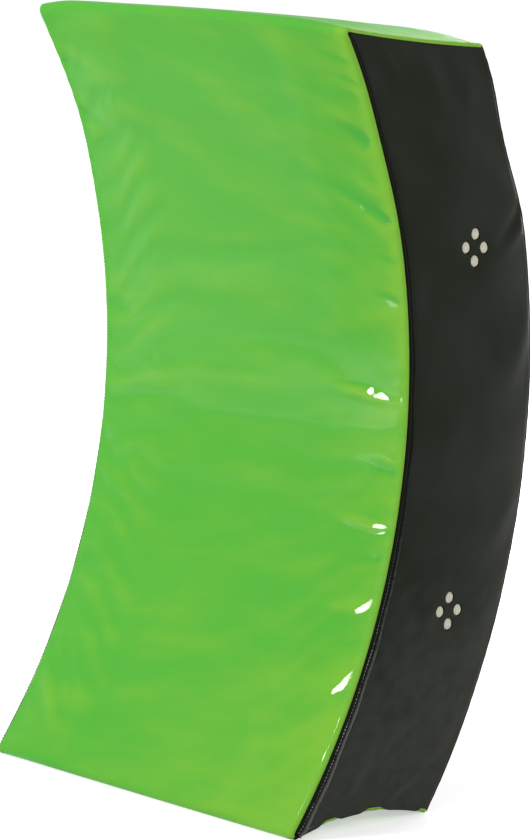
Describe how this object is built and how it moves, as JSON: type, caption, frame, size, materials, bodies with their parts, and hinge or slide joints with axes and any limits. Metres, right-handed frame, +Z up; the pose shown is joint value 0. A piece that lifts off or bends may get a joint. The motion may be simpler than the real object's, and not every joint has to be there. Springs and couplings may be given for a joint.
{
  "type": "tackle wedge",
  "caption": "Curved foam tackle wedge in a vinyl cover: hollow strike face, vented side gussets, padded webbing grips and a zip on the back.",
  "frame": {"origin": "middle of the flat lower end that the wedge stands on", "axes": "+Z up along the wedge's height; -Y the way the hollow strike face looks; +X to the viewer's right when facing the strike face"},
  "size_m": [0.3926, 0.3371, 0.7108],
  "materials": {
    "green_vinyl": "satin",
    "black_vinyl": "satin",
    "strike_foam": "matte",
    "cream_foam": "matte",
    "grey_foam": "matte",
    "black_webbing": "matte",
    "black_tape": "matte",
    "black_nylon": "satin",
    "dark_metal": "satin"
  },
  "bodies": {
    "pad": {"back_panel": "black_vinyl", "backing_foam": "grey_foam", "core_foam": "cream_foam", "front_wrap": "green_vinyl", "grip_patch_left_lower": "black_vinyl", "grip_patch_left_upper": "black_vinyl", "grip_patch_right_lower": "black_vinyl", "grip_patch_right_upper": "black_vinyl", "grip_sleeve_left": "black_vinyl", "grip_sleeve_right": "black_vinyl", "grip_webbing_left": "black_webbing", "grip_webbing_right": "black_webbing", "gusset_left": "black_vinyl", "gusset_right": "black_vinyl", "strike_foam": "strike_foam", "welt_left": "black_vinyl", "welt_right": "black_vinyl", "zip_chain_lower": "black_nylon", "zip_chain_upper": "black_nylon", "zip_stop_left": "dark_metal", "zip_stop_right": "dark_metal", "zip_tape_lower": "black_tape", "zip_tape_upper": "black_tape"},
    "slider": {"zip_slider": "dark_metal"},
    "ring": {"zip_ring": "dark_metal"},
    "puller": {"zip_puller": "dark_metal"}
  },
  "joints": [
    {"name": "zip_slide", "type": "slide", "parent": "pad", "child": "slider", "axis": [1, 0, 0], "range_m": [0, 0.313]},
    {"name": "ring_swing", "type": "hinge", "parent": "slider", "child": "ring", "pos_m": [-0.1565, 0.13461, 0.06057], "axis": [1, 0, 0], "range_deg": [-25, 110]},
    {"name": "puller_swing", "type": "hinge", "parent": "ring", "child": "puller", "pos_m": [-0.1565, 0.13461, 0.05541], "axis": [0, 1, 0], "range_deg": [-70, 70]}
  ]
}
